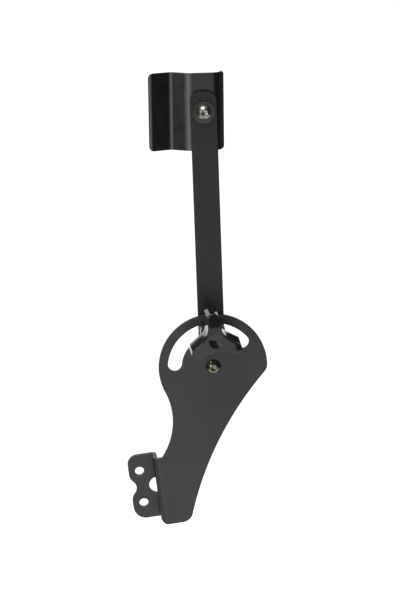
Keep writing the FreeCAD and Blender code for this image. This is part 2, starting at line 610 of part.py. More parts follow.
def cradle_section(body):
    """The cradle sheet's section: lip, trough, ridge, web and rear flange, seen from above."""
    thick = size["cradle_sheet"]
    hollow, crest, rim, fold = (
        size[name] for name in ("trough_radius", "ridge_radius", "lip_radius", "cradle_fold")
    )
    valley = (-size["valley_across"], size["trough_depth"] - hollow)
    ridge = (-size["ridge_across"], crest)
    lip = (-size["lip_across"], size["lip_depth"] + rim)
    corner = (size["web_right"], fold)
    # the straight walls cross between a hollow and a crest, tangent to both
    ridge_lean = wall_lean(valley, ridge, hollow + crest)
    lip_lean = wall_lean(valley, lip, hollow + rim)
    lip_end = math.degrees(math.asin((size["cradle_left"] - size["lip_across"]) / rim))
    bend = size["cradle_fold_angle"]
    flange_start = spot(corner, fold, -90 + bend)
    length = (size["cradle_right"] - flange_start[0]) / math.cos(math.radians(bend))
    flange_end = spot(flange_start, length, bend)
    rear_end = spot(flange_end, thick, bend + 90)
    rear_start = spot(corner, fold - thick, -90 + bend)

    def wall(start_centre, start_radius, start_angle, end_centre, end_radius, end_angle):
        start = spot(start_centre, start_radius, start_angle)
        return run(start, spot(end_centre, end_radius, end_angle), smooth=True)

    profile = new_sketch(body, "XY_Plane", "Section", "-Sizes.cradle_down")
    pieces = [
        turn(lip, rim, 270 - lip_end, 270 + lip_lean),
        wall(lip, rim, 270 + lip_lean, valley, hollow, 90 + lip_lean),
        turn(valley, hollow, 90 + lip_lean, 90 - ridge_lean),
        wall(valley, hollow, 90 - ridge_lean, ridge, crest, 270 - ridge_lean),
        turn(ridge, crest, 270 - ridge_lean, 270),
        run((ridge[0], 0), (corner[0], 0), smooth=True),
        turn(corner, fold, 270, 270 + bend),
        run(flange_start, flange_end),
        run(flange_end, rear_end),
        run(rear_end, rear_start, smooth=True),
        turn(corner, fold - thick, 270 + bend, 270),
        run((corner[0], thick), (ridge[0], thick), smooth=True),
        turn(ridge, crest - thick, 270, 270 - ridge_lean),
        wall(ridge, crest - thick, 270 - ridge_lean, valley, hollow + thick, 90 - ridge_lean),
        turn(valley, hollow + thick, 90 - ridge_lean, 90 + lip_lean),
        wall(valley, hollow + thick, 90 + lip_lean, lip, rim - thick, 270 + lip_lean),
        turn(lip, rim - thick, 270 + lip_lean, 270 - lip_end, smooth=False),
        run(spot(lip, rim - thick, 270 - lip_end), spot(lip, rim, 270 - lip_end)),
    ]
    first = draw(profile, pieces)
    lip_front, valley_front, ridge_front, fold_front = (first + step for step in (0, 2, 4, 6))
    fold_rear, ridge_rear, valley_rear, lip_rear = (first + step for step in (10, 12, 14, 16))
    for front, rear in (
        (lip_front, lip_rear),
        (valley_front, valley_rear),
        (ridge_front, ridge_rear),
        (fold_front, fold_rear),
    ):
        profile.addConstraint(Sketcher.Constraint("Coincident", front, MIDDLE, rear, MIDDLE))
    for arc, radius, across in (
        (lip_front, "lip_radius", "lip_across"),
        (valley_front, "trough_radius", "valley_across"),
        (ridge_front, "ridge_radius", "ridge_across"),
    ):
        bind_size(profile, "Radius", (arc,), radius)
        bind_size(profile, "DistanceX", (arc, MIDDLE, *CENTRE), across)
    bind_size(profile, "Radius", (fold_front,), "cradle_fold")
    bind_size(profile, "DistanceX", (*CENTRE, fold_front, MIDDLE), "web_right")
    formula = "Sizes.trough_depth - Sizes.trough_radius"
    bind(profile, "DistanceY", (*CENTRE, valley_front, MIDDLE), formula, valley[1])
    formula = "Sizes.lip_depth + Sizes.lip_radius"
    bind(profile, "DistanceY", (*CENTRE, lip_front, MIDDLE), formula, lip[1])
    bind_size(profile, "DistanceX", (lip_front, START, *CENTRE), "cradle_left")
    bind_size(profile, "DistanceX", (*CENTRE, first + 7, END), "cradle_right")
    return profile


def make_cradle(place):
    """The bent cradle sheet, drawn about its bolt with the web's front face on the XZ plane."""
    body = new_body("cradle")
    top = size["cradle_up"]
    bottom = -size["cradle_down"]
    pad(body, cradle_section(body), "Sizes.cradle_up + Sizes.cradle_down", "Sheet")

    def on_rim(point):
        return min(abs(point.z - top), abs(point.z - bottom)) < NEAR

    round_off(body, "SheetRim", "edge_round", on_rim)
    trim = new_sketch(body, "XZ_Plane", "Corners")
    for side, edge, radius in (
        (-1, "cradle_left", "cradle_corner"),
        (1, "cradle_right", "cradle_rear_corner"),
    ):
        for end, level in ((-1, bottom), (1, top)):
            corner_cut(trim, (side * size[edge], level), (side, end), radius)
    pocket(body, trim, None, "RoundCorners")
    hole = new_sketch(body, "XZ_Plane", "Bore")
    circle(hole, "bore_radius")
    pocket(body, hole, None, "BoltHole")
    body.Placement = place
    return body


def wall_lean(hollow_centre, crest_centre, radii):
    """Lean of the wall between a hollow and a crest whose radii add up to a sum, in degrees."""
    across = abs(crest_centre[0] - hollow_centre[0])
    rise = crest_centre[1] - hollow_centre[1]
    return math.degrees(math.atan2(across, rise) - math.acos(radii / math.hypot(across, rise)))


def spot(centre, radius, angle):
    """The point of a circle at an angle in degrees."""
    return (
        centre[0] + radius * math.cos(math.radians(angle)),
        centre[1] + radius * math.sin(math.radians(angle)),
    )


def corner_cut(sketch, corner, outward, radius):
    """What is cut away outside a rounded corner; outward is (left or right, down or up)."""
    r = size[radius]
    margin = 2.0
    x, z = corner
    side, end = outward
    centre = (x - side * r, z - end * r)
    start, stop = {
        (1, 1): (90, 0),
        (-1, 1): (90, 180),
        (1, -1): (270, 360),
        (-1, -1): (270, 180),
    }[outward]
    far_x = x + side * margin
    far_z = z + end * margin
    pieces = [
        turn(centre, r, start, stop, smooth=False),
        run((x, centre[1]), (far_x, centre[1])),
        run((far_x, centre[1]), (far_x, far_z)),
        run((far_x, far_z), (centre[0], far_z)),
        run((centre[0], far_z), (centre[0], z)),
    ]
    first = draw(sketch, pieces)
    bind_size(sketch, "Radius", (first,), radius)


# ---------------------------------------------------------------- fasteners


def make_ring(label, place, outer, bore, thickness):
    """A washer, bush or collar."""
    body = new_body(label)
    sketch = new_sketch(body, "XY_Plane", "Ring")
    circle(sketch, outer)
    circle(sketch, bore)
    pad(body, sketch, f"Sizes.{thickness}", "Thickness")
    body.Placement = place
    return body


def revolve(body, sketch, name):
    """Turn a half section about the body's Z axis."""
    feature = body.newObject("PartDesign::Revolution", name)
    feature.Profile = sketch
    feature.ReferenceAxis = (sketch, ["V_Axis"])
    feature.Angle = 360
    doc.recompute()
    return feature


def groove(body, sketch, name):
    """Cut a half section, turned about the body's Z axis, out of the body."""
    before = body.Shape.Volume
    feature = body.newObject("PartDesign::Groove", name)
    feature.Profile = sketch
    feature.ReferenceAxis = (sketch, ["V_Axis"])
    feature.Angle = 360
    doc.recompute()
    if body.Shape.Volume > before - NEAR:
        raise RuntimeError(f"{body.Label}: {name} cuts nothing")
    return feature


def hexagon(sketch, across):
    """A hexagon about the sketch's origin, its flats to the left and right."""
    outer = size[across] / math.sqrt(3)
    corners = [spot((0, 0), outer, 30 + 60 * step) for step in range(6)]
    first = draw(sketch, [run(a, b) for a, b in zip(corners, corners[1:] + corners[:1])])
    rim = sketch.addGeometry(Part.Circle(Vector(0, 0, 0), Vector(0, 0, 1), outer), True)
    sketch.addConstraint(Sketcher.Constraint("Coincident", rim, MIDDLE, *CENTRE))
    bind(sketch, "Radius", (rim,), f"Sizes.{across} / sqrt(3)", outer)
    for side in range(6):
        sketch.addConstraint(Sketcher.Constraint("PointOnObject", first + side, START, rim))
    for side in range(5):
        sketch.addConstraint(Sketcher.Constraint("Equal", first + side, first + side + 1))
    sketch.addConstraint(Sketcher.Constraint("Vertical", first + 5))


def make_button_bolt(label, place):
    """A button-head bolt: its head stands up from the local XY plane, its shank goes down."""
    body = new_body(label)
    shank = size["shank_radius"]
    length = size["bolt_length"]
    head = size["button_radius"]
    height = size["button_height"]
    flat = size["button_flat"]
    # the dome's circle passes through the rim and the edge of the flat top
    drop = (head**2 - flat**2 - height**2) / (2 * height)
    dome = math.hypot(head, drop)
    chamfer = 1.0
    sketch = new_sketch(body, "XZ_Plane", "HalfSection")
    centre = (0.0, -drop)
    pieces = [
        run((0, -length), (shank - chamfer, -length)),
        run((shank - chamfer, -length), (shank, -length + chamfer)),
        run((shank, -length + chamfer), (shank, 0)),
        run((shank, 0), (head, 0)),
        turn(centre, dome, angle_of(centre, (head, 0)), angle_of(centre, (flat, height)), smooth=False),
        run((flat, height), (0, height)),
        run((0, height), (0, -length)),
    ]
    first = draw(sketch, pieces)
    tip, _, side, seat, crown, top, axis = range(first, first + 7)
    for line in (tip, seat, top):
        sketch.addConstraint(Sketcher.Constraint("Horizontal", line))
    sketch.addConstraint(Sketcher.Constraint("Vertical", side))
    sketch.addConstraint(Sketcher.Constraint("PointOnObject", axis, START, -2))
    sketch.addConstraint(Sketcher.Constraint("PointOnObject", axis, END, -2))
    sketch.addConstraint(Sketcher.Constraint("PointOnObject", crown, MIDDLE, -2))
    sketch.addConstraint(Sketcher.Constraint("PointOnObject", seat, START, -1))
    bind_size(sketch, "DistanceX", (*CENTRE, side, START), "shank_radius")
    bind_size(sketch, "DistanceX", (*CENTRE, crown, START), "button_radius")
    bind_size(sketch, "DistanceX", (*CENTRE, crown, END), "button_flat")
    bind_size(sketch, "DistanceY", (*CENTRE, top, START), "button_height")
    bind_size(sketch, "DistanceY", (tip, START, *CENTRE), "bolt_length")
    revolve(body, sketch, "Bolt")
    socket = new_sketch(body, "XY_Plane", "Socket", "Sizes.button_height")
    hexagon(socket, "socket_across")
    pocket(body, socket, "Sizes.socket_depth", "SocketCut")
    body.Placement = place
    return body


def make_lock_nut(label, place):
    """A hexagon nut whose rear end holds a nylon collar. Local +Z is its seat."""
    body = new_body(label)
    sketch = new_sketch(body, "XY_Plane", "Hexagon")
    hexagon(sketch, "nut_across")
    pad(body, sketch, "Sizes.nut_height", "Nut")
    outer = size["nut_across"] / math.sqrt(3) + 1
    flat = size["nut_across"] / 2
    taper = new_sketch(body, "XZ_Plane", "CornerTaper")
    low = (flat, 0)
    high = (outer, size["nut_chamfer"] * (outer - flat) / (size["nut_across"] / math.sqrt(3) - flat))
    first = draw(taper, [run(low, (outer, 0)), run((outer, 0), high), run(high, low)])
    taper.addConstraint(Sketcher.Constraint("Horizontal", first))
    taper.addConstraint(Sketcher.Constraint("Vertical", first + 1))
    taper.addConstraint(Sketcher.Constraint("PointOnObject", first, START, -1))
    bind(taper, "DistanceX", (*CENTRE, first, START), "Sizes.nut_across / 2", flat)
    groove(body, taper, "Tapered")
    bore = new_sketch(body, "XY_Plane", "Thread")
    circle(bore, "bore_radius")
    pocket(body, bore, "Sizes.nut_height", "ThreadBore", towards_normal=True)
    seat = new_sketch(body, "XY_Plane", "CollarSeat")
    circle(seat, "collar_outer")
    pocket(body, seat, "Sizes.collar_height", "CollarRecess", towards_normal=True)
    body.Placement = place
    return body


def make_clamp_bolt(place):
    """A square-neck bolt: dome behind the arm, neck in the arm, shank out through the knob."""
    body = new_body("clamp_bolt")
    radius = size["clamp_head_radius"]
    height = size["clamp_head_height"]
    dome = (radius**2 + height**2) / (2 * height)
    sketch = new_sketch(body, "XZ_Plane", "Dome")
    centre = (0.0, dome - height)
    pieces = [
        turn(centre, dome, 270, 360 + angle_of(centre, (radius, 0)), smooth=False),
        run((radius, 0), (0, 0)),
        run((0, 0), (0, -height)),
    ]
    first = draw(sketch, pieces)
    sketch.addConstraint(Sketcher.Constraint("Coincident", first + 1, END, *CENTRE))
    sketch.addConstraint(Sketcher.Constraint("Horizontal", first + 1))
    sketch.addConstraint(Sketcher.Constraint("Vertical", first + 2))
    sketch.addConstraint(Sketcher.Constraint("PointOnObject", first, MIDDLE, -2))
    bind_size(sketch, "DistanceX", (*CENTRE, first + 1, START), "clamp_head_radius")
    bind_size(sketch, "DistanceY", (first + 2, END, *CENTRE), "clamp_head_height")
    revolve(body, sketch, "Head")
    neck = new_sketch(body, "XY_Plane", "Neck")
    draw_square(neck, "neck_square")
    pad(body, neck, "Sizes.arm_thickness", "SquareNeck")
    shank = new_sketch(body, "XY_Plane", "Shank")
    circle(shank, "shank_radius")
    pad(body, shank, "Sizes.arm_thickness + Sizes.clamp_shank", "RoundShank")
    body.Placement = place
    return body


# ---------------------------------------------------------------- knob


def three_times(body, feature, name):
    """Repeat a feature three times round the body's Z axis."""
    pattern = body.newObject("PartDesign::PolarPattern", name)
    pattern.Originals = [feature]
    axis = next(part for part in body.Origin.OriginFeatures if part.Role == "Z_Axis")
    pattern.Axis = (axis, [""])
    pattern.Angle = 360
    pattern.Occurrences = 3
    body.Tip = pattern
    doc.recompute()
    return pattern


def knob_hollow(body):
    """What is cut away between two lobes: a round hollow whose ends run out as straight lobe sides."""
    r = size["knob_scoop_radius"]
    centre = (0.0, -size["knob_scoop_centre"])
    lean = 60 + size["knob_lobe_taper"]
    left = spot(centre, r, 180 - lean)
    right = spot(centre, r, lean)
    reach = size["knob_tip_radius"]
    sketch = new_sketch(body, "XY_Plane", "Hollow")
    far_left = spot(left, reach, 270 - lean)
    far_right = spot(right, reach, 270 + lean)
    foot = (0.0, far_left[1] - reach)
    pieces = [
        turn(centre, r, 180 - lean, lean),
        run(right, far_right),
        run(far_right, foot),
        run(foot, far_left),
        run(far_left, left, smooth=True),
    ]
    first = draw(sketch, pieces)
    sketch.addConstraint(Sketcher.Constraint("PointOnObject", first, MIDDLE, -2))
    bind_size(sketch, "Radius", (first,), "knob_scoop_radius")
    bind_size(sketch, "DistanceY", (first, MIDDLE, *CENTRE), "knob_scoop_centre")
    return sketch


def crown_drop(radius):
    """How far the crowned front face has dropped at a radius."""
    dome = size["knob_dome_radius"]
    return dome - math.sqrt(dome**2 - radius**2)


def knob_crown(body):
    """Half section of what is cut away in front of the crowned face."""
    dome = size["knob_dome_radius"]
    face = size["knob_neck_length"] + size["knob_lobe_length"]
    centre = (0.0, face - dome)
    reach = size["knob_tip_radius"] + 2
    edge = (reach, face - crown_drop(reach))
    sketch = new_sketch(body, "XZ_Plane", "CrownSection")
    pieces = [
        turn(centre, dome, angle_of(centre, edge), 90, smooth=False),
        run((0, face), (reach, face)),
        run((reach, face), edge),
    ]
    first = draw(sketch, pieces)
    sketch.addConstraint(Sketcher.Constraint("PointOnObject", first, MIDDLE, -2))
    sketch.addConstraint(Sketcher.Constraint("PointOnObject", first, END, -2))
    sketch.addConstraint(Sketcher.Constraint("Horizontal", first + 1))
    sketch.addConstraint(Sketcher.Constraint("Vertical", first + 2))
    bind_size(sketch, "Radius", (first,), "knob_dome_radius")
    formula = "Sizes.knob_neck_length + Sizes.knob_lobe_length"
    bind(sketch, "DistanceY", (*CENTRE, first, END), formula, face)
    return sketch


def make_knob(place):
    """The three-lobe knob, its base on the local XY plane and one lobe up."""
    body = new_body("knob_body")
    lobes = new_sketch(body, "XY_Plane", "Disc", "Sizes.knob_neck_length")
    circle(lobes, "knob_tip_radius")
    pad(body, lobes, "Sizes.knob_lobe_length", "Lobes")
    depth = "Sizes.knob_neck_length + Sizes.knob_lobe_length"
    cut = pocket(body, knob_hollow(body), depth, "Scoop", towards_normal=True)
    three_times(body, cut, "Scoops")
    half = size["knob_neck_length"] + size["knob_lobe_length"] / 2
    round_off(body, "TipCorners", "knob_tip_round", lambda point: abs(point.z - half) < NEAR)
    base = size["knob_neck_length"]
    face = base + size["knob_lobe_length"]
    groove(body, knob_crown(body), "Crown")
    lowest = face - crown_drop(size["knob_tip_radius"]) - 1
    round_off(body, "FaceRim", "knob_face_round", lambda point: point.z > lowest)
    round_off(body, "BackRim", "knob_face_round", lambda point: abs(point.z - base) < NEAR)
    neck = new_sketch(body, "XY_Plane", "NeckCircle")
    circle(neck, "knob_neck_radius")
    pad(body, neck, "Sizes.knob_neck_length", "Neck")
    well = new_sketch(body, "XY_Plane", "WellCircle")
    circle(well, "knob_well_radius")
    pocket(body, well, None, "Well")
    seat = new_sketch(body, "XY_Plane", "InsertSeat")
    circle(seat, "insert_radius")
    pocket(body, seat, "Sizes.insert_length", "InsertRecess", towards_normal=True)
    rim = new_sketch(body, "XY_Plane", "CapSeat", "Sizes.knob_neck_length + Sizes.knob_lobe_length")
    circle(rim, "cap_radius")
    pocket(body, rim, "Sizes.cap_thickness", "CapRecess")
    body.Placement = place
    return body


def make_cap(place):
    """The knob's cap, with a cone-shaped dish in its face. Local +Z is its face."""
    body = new_body("knob_cap")
    sketch = new_sketch(body, "XY_Plane", "Disc")
    circle(sketch, "cap_radius")
    pad(body, sketch, "Sizes.cap_thickness", "Cap")
    across = size["cap_dish_radius"]
    top = size["cap_thickness"]
    bottom = top - size["cap_dish_depth"]
    dish = new_sketch(body, "XZ_Plane", "DishSection")
    corners = [(0, bottom), (across, top), (0, top)]
    first = draw(dish, [run(start, end) for start, end in zip(corners, corners[1:] + corners[:1])])
    dish.addConstraint(Sketcher.Constraint("Horizontal", first + 1))
    dish.addConstraint(Sketcher.Constraint("PointOnObject", first, START, -2))
    dish.addConstraint(Sketcher.Constraint("PointOnObject", first + 1, END, -2))
    bind_size(dish, "DistanceX", (*CENTRE, first, END), "cap_dish_radius")
    bind_size(dish, "DistanceY", (*CENTRE, first, END), "cap_thickness")
    bind(dish, "DistanceY", (*CENTRE, first, START), "Sizes.cap_thickness - Sizes.cap_dish_depth", bottom)
    groove(body, dish, "Dish")
    body.Placement = place
    return body


# ---------------------------------------------------------------- assembly

plate_front = -size["stand_off"]
plate_back = plate_front + size["plate_thickness"]
arm_front = plate_back + size["arm_gap"]
arm_back = arm_front + size["arm_thickness"]
cradle_front = arm_back + size["arm_gap"]
gap = size["running_gap"]

pivot_place = Placement(Vector(size["pivot_across"], 0, size["pivot_up"]), Rotation())
arm_place = pivot_place * Placement(Vector(), Rotation(Vector(0, 1, 0), size["arm_lean"]))
bolt_place = arm_place * Placement(Vector(0, 0, size["arm_reach"]), Rotation())
clamp_place = arm_place * Placement(Vector(0, 0, size["slot_radius"]), Rotation())
knob_turn = Placement(Vector(), Rotation(Vector(0, 1, 0), -size["knob_turned_back"]))
knob_place = clamp_place * knob_turn
cradle_place = bolt_place * Placement(Vector(), Rotation(Vector(0, 1, 0), size["cradle_lean"]))


def facing(base, depth):
    """A place on an axis, at a depth, for a piece whose own +Z points at the viewer."""
    return base * Placement(Vector(0, depth, 0), TOWARDS_VIEWER)


def sheet_place(base, depth):
    """A place on an axis, at a depth, for a sheet drawn in the XZ plane."""
    return base * Placement(Vector(0, depth, 0), Rotation())


thin = size["friction_thickness"]
steel = size["washer_thickness"]
nut = size["nut_height"]
pivot_washer_back = arm_back + gap + thin + steel
cradle_back = cradle_front + size["cradle_sheet"]
cradle_washer_back = cradle_back + gap + steel
washer_front = plate_front - gap
knob_base = washer_front - size["clamp_washer_thickness"] - gap
cap_base = knob_base - size["knob_neck_length"] - size["knob_lobe_length"] + size["cap_thickness"]

parts = [
    make_bracket(),
    make_button_bolt("pivot_bolt", facing(pivot_place, plate_front)),
    make_ring(
        "pivot_friction_washer",
        facing(pivot_place, plate_back + gap + thin),
        "pivot_friction_radius",
        "bore_radius",
        "friction_thickness",
    ),
    make_ring(
        "pivot_nylon_washer",
        facing(pivot_place, arm_back + gap + thin),
        "pivot_friction_radius",
        "bore_radius",
        "friction_thickness",
    ),
    make_ring(
        "pivot_flat_washer",
        facing(pivot_place, pivot_washer_back),
        "flat_washer_radius",
        "bore_radius",
        "washer_thickness",
    ),
    make_lock_nut("pivot_lock_nut", facing(pivot_place, pivot_washer_back + nut)),
    make_ring(
        "pivot_nut_collar",
        facing(pivot_place, pivot_washer_back + nut),
        "collar_outer",
        "shank_radius",
        "collar_height",
    ),
    make_arm(sheet_place(arm_place, arm_back)),
    make_clamp_bolt(facing(clamp_place, arm_back)),
    make_ring("slot_bush", facing(clamp_place, arm_front), "bush_radius", "bore_radius", "bush_length"),
    make_ring(
        "clamp_friction_washer",
        facing(clamp_place, arm_front - gap),
        "pivot_friction_radius",
        "bush_hole",
        "friction_thickness",
    ),
    make_ring(
        "clamp_washer",
        facing(clamp_place, washer_front),
        "clamp_washer_radius",
        "clearance_radius",
        "clamp_washer_thickness",
    ),
    make_knob(facing(knob_place, knob_base)),
    make_ring(
        "knob_insert",
        facing(clamp_place, knob_base),
        "insert_radius",
        "bore_radius",
        "insert_length",
    ),
    make_cap(facing(knob_place, cap_base)),
    make_cradle(sheet_place(cradle_place, cradle_front)),
    make_button_bolt("cradle_bolt", facing(bolt_place, arm_front - steel)),
    make_ring(
        "cradle_bolt_washer",
        facing(bolt_place, arm_front),
        "front_washer_radius",
        "bore_radius",
        "washer_thickness",
    ),
    make_ring(
        "cradle_friction_washer",
        facing(bolt_place, arm_back + gap + thin),
        "cradle_friction_radius",
        "bore_radius",
        "friction_thickness",
    ),
    make_ring(
        "cradle_flat_washer",
        facing(bolt_place, cradle_washer_back),
        "flat_washer_radius",
        "bore_radius",
        "washer_thickness",
    ),
    make_lock_nut("cradle_lock_nut", facing(bolt_place, cradle_washer_back + nut)),
    make_ring(
        "cradle_nut_collar",
        facing(bolt_place, cradle_washer_back + nut),
        "collar_outer",
        "shank_radius",
        "collar_height",
    ),
]

doc.recompute()
for item in doc.Objects:
    if "Invalid" in item.State or "Error" in item.State:
        raise RuntimeError(f"{item.Label} failed: {item.State}")
for part in parts:
    if part.Shape.isNull() or not part.Shape.isValid():
        raise RuntimeError(f"{part.Label} has no valid shape")

os.makedirs("parts", exist_ok=True)
for part in parts:
    part.Shape.exportStep(f"parts/{part.Label}.step")
    box = part.Shape.BoundBox
    print(
        f"{part.Label:24s} solids {len(part.Shape.Solids)} volume {part.Shape.Volume:9.0f} mm3 "
        f"box {box.XLength:.1f} x {box.YLength:.1f} x {box.ZLength:.1f} mm"
    )
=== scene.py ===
import math

import bmesh
import bpy
from mathutils import Matrix, Vector


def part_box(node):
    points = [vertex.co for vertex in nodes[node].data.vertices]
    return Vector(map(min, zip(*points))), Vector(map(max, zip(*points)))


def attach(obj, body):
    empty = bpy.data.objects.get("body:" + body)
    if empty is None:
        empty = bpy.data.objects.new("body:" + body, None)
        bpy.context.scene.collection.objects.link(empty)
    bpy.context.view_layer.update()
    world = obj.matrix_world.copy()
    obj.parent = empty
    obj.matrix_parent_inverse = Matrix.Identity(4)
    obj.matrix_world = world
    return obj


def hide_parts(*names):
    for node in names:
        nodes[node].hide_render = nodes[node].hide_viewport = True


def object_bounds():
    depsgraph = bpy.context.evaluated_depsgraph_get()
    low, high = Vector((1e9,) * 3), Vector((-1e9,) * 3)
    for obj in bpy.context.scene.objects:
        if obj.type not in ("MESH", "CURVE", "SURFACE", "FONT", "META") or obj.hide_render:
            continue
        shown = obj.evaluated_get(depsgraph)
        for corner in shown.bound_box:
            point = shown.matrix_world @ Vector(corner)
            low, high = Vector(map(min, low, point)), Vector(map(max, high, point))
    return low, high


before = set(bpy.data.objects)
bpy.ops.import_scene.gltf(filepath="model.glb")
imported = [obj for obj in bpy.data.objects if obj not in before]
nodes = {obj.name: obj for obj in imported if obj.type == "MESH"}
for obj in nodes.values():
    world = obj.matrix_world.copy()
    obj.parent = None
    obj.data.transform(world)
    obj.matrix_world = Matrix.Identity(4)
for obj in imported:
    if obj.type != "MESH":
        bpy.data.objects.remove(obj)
cad_low, cad_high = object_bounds()

MM = 0.001
TURN = 2 * math.pi
SHARP = math.radians(34)
WHITE = (1.0, 1.0, 1.0, 1.0)


# ---------------------------------------------------------------- material helpers

# cosine between a face's own normal and the rounded one, on an edge and off it
ON_EDGE = 0.70
OFF_EDGE = 0.93
BEVEL_SAMPLES = 6


def new_material(name):
    """A node material and its Principled shader."""
    material = bpy.data.materials.new(name)
    material.use_nodes = True
    return material, material.node_tree.nodes["Principled BSDF"]


def add_node(material, kind, **settings):
    """A node of a kind, with its properties and its unlinked inputs set."""
    node = material.node_tree.nodes.new(kind)
    for name, value in settings.items():
        if hasattr(node, name):
            setattr(node, name, value)
        else:
            node.inputs[name.replace("_", " ")].default_value = value
    return node


def wire(material, output, socket):
    """Link an output to an input."""
    material.node_tree.links.new(output, socket)


def colour_socket(sockets, name):
    """The colour socket of a name, among sockets of other types."""
    return next(socket for socket in sockets if socket.name == name and socket.type == "RGBA")


def place_coordinates(material, stretch):
    """The piece's own coordinates in metres, stretched along its axes."""
    coordinates = add_node(material, "ShaderNodeTexCoord")
    mapping = add_node(material, "ShaderNodeMapping", Scale=stretch)
    wire(material, coordinates.outputs["Object"], mapping.inputs["Vector"])
    return mapping.outputs["Vector"]


def noise(material, scale, detail=3.0, roughness=0.5, stretch=(1, 1, 1)):
    """Noise with a number of grains to the metre."""
    texture = add_node(material, "ShaderNodeTexNoise", Scale=scale, Detail=detail, Roughness=roughness)
    wire(material, place_coordinates(material, stretch), texture.inputs["Vector"])
    return texture.outputs["Fac"]


def two_tone(material, factor, dark, light, start=0.30, end=0.72):
    """A colour that goes from dark to light between two values of a factor."""
    node = add_node(material, "ShaderNodeValToRGB")
    for element, position, colour in zip(node.color_ramp.elements, (start, end), (dark, light)):
        element.position = position
        element.color = (*colour, 1.0)
    wire(material, factor, node.inputs["Fac"])
    return node.outputs["Color"]


def span(material, factor, low, high, start=0.3, end=0.7):
    """Stretch the part of a factor between start and end onto a range, clamped to it."""
    kind = "ShaderNodeMapRange"
    node = add_node(material, kind, From_Min=start, From_Max=end, To_Min=low, To_Max=high)
    wire(material, factor, node.inputs["Value"])
    return node.outputs["Result"]


def times(material, first, second):
    """The product of two factors."""
    node = add_node(material, "ShaderNodeMath", operation="MULTIPLY")
    wire(material, first, node.inputs[0])
    wire(material, second, node.inputs[1])
    return node.outputs["Value"]


def brightened(colour, gain, lift):
    """A lighter tone of a colour."""
    return tuple(min(1.0, channel * gain + lift) for channel in colour)


def tint(material, mask, colour, tone):
    """A colour that gives way to a fixed tone where the mask is 1."""
    node = add_node(material, "ShaderNodeMix", data_type="RGBA")
    wire(material, mask, node.inputs["Factor"])
    wire(material, colour, colour_socket(node.inputs, "A"))
    colour_socket(node.inputs, "B").default_value = (*tone, 1.0)
    return colour_socket(node.outputs, "Result")


def edge_mask(material, radius, strength=1.0):
    """A mask with a strength on edges, within a radius, and 0 on flat faces."""
    bevel = add_node(material, "ShaderNodeBevel", samples=BEVEL_SAMPLES, Radius=radius)
    geometry = add_node(material, "ShaderNodeNewGeometry")
    cosine = add_node(material, "ShaderNodeVectorMath", operation="DOT_PRODUCT")
    wire(material, bevel.outputs["Normal"], cosine.inputs[0])
    wire(material, geometry.outputs["Normal"], cosine.inputs[1])
    return span(material, cosine.outputs["Value"], strength, 0.0, ON_EDGE, OFF_EDGE)


def add_bumps(material, shader, height, strength, distance):
    """Bump the shader's normal by a height factor."""
    bump = add_node(material, "ShaderNodeBump", Strength=strength, Distance=distance)
    wire(material, height, bump.inputs["Height"])
    wire(material, bump.outputs["Normal"], shader.inputs["Normal"])


# ---------------------------------------------------------------- kinds of material

# grains of each noise to the metre
COAT_CLOUDS = 26.0
COAT_SCRATCHES = 190.0
COAT_PATCHES = 60.0
ORANGE_PEEL = 1150.0
TARNISH = 130.0
MACHINING = 420.0
PLASTIC_CLOUDS = 45.0
PLASTIC_SCUFFS = 260.0

# how far wear reaches from an edge on the coats and plastic, and how far the lighter edge band reaches on
# plating
COAT_WEAR = 0.9 * MM
PLATING_EDGE_BAND = 0.35 * MM
PLASTIC_WEAR = 0.5 * MM

# depth of the fine textures
PEEL_DEPTH = 0.12 * MM
MACHINING_DEPTH = 0.05 * MM
PLASTIC_DEPTH = 0.06 * MM

COOL_SHEEN = (0.92, 0.95, 1.0, 1.0)


def powder_coat(name, dark, light, gloss, sheen, peel_strength, wear):
    """Satin black powder coat: fine orange peel, faint clouding, edges rubbed a little lighter."""
    material, shader = new_material(name)
    colour = two_tone(material, noise(material, COAT_CLOUDS, detail=4.0, roughness=0.6), dark, light)
    scratches = span(material, noise(material, COAT_SCRATCHES), 0.0, wear, start=0.35)
    rubbed = times(material, edge_mask(material, COAT_WEAR), scratches)
    worn = brightened(light, gain=3.2, lift=0.012)
    wire(material, tint(material, rubbed, colour, worn), shader.inputs["Base Color"])
    patches = noise(material, COAT_PATCHES, roughness=0.55)
    wire(material, span(material, patches, gloss - 0.03, gloss + 0.05), shader.inputs["Roughness"])
    peel = noise(material, ORANGE_PEEL, detail=2.0, roughness=0.45)
    add_bumps(material, shader, peel, peel_strength, PEEL_DEPTH)
    shader.inputs["Specular IOR Level"].default_value = sheen
    shader.inputs["Specular Tint"].default_value = COOL_SHEEN
    return material


def plated_steel(name, dark, light, gloss):
    """Plated steel with fine machining grain and brighter edges."""
    material, shader = new_material(name)
    tarnish = noise(material, TARNISH, detail=4.0, roughness=0.6)
    colour = two_tone(material, tarnish, dark, light, start=0.32, end=0.70)
    # every edge of the plating made lighter by the same amount
    edges = edge_mask(material, PLATING_EDGE_BAND, strength=0.8)
    bright = brightened(light, gain=1.7, lift=0.05)
    wire(material, tint(material, edges, colour, bright), shader.inputs["Base Color"])
    grain = noise(material, MACHINING, roughness=0.6, stretch=(1, 5, 1))
    wire(material, span(material, grain, gloss - 0.05, gloss + 0.09), shader.inputs["Roughness"])
    add_bumps(material, shader, grain, 0.10, MACHINING_DEPTH)
    shader.inputs["Metallic"].default_value = 1.0
    return material


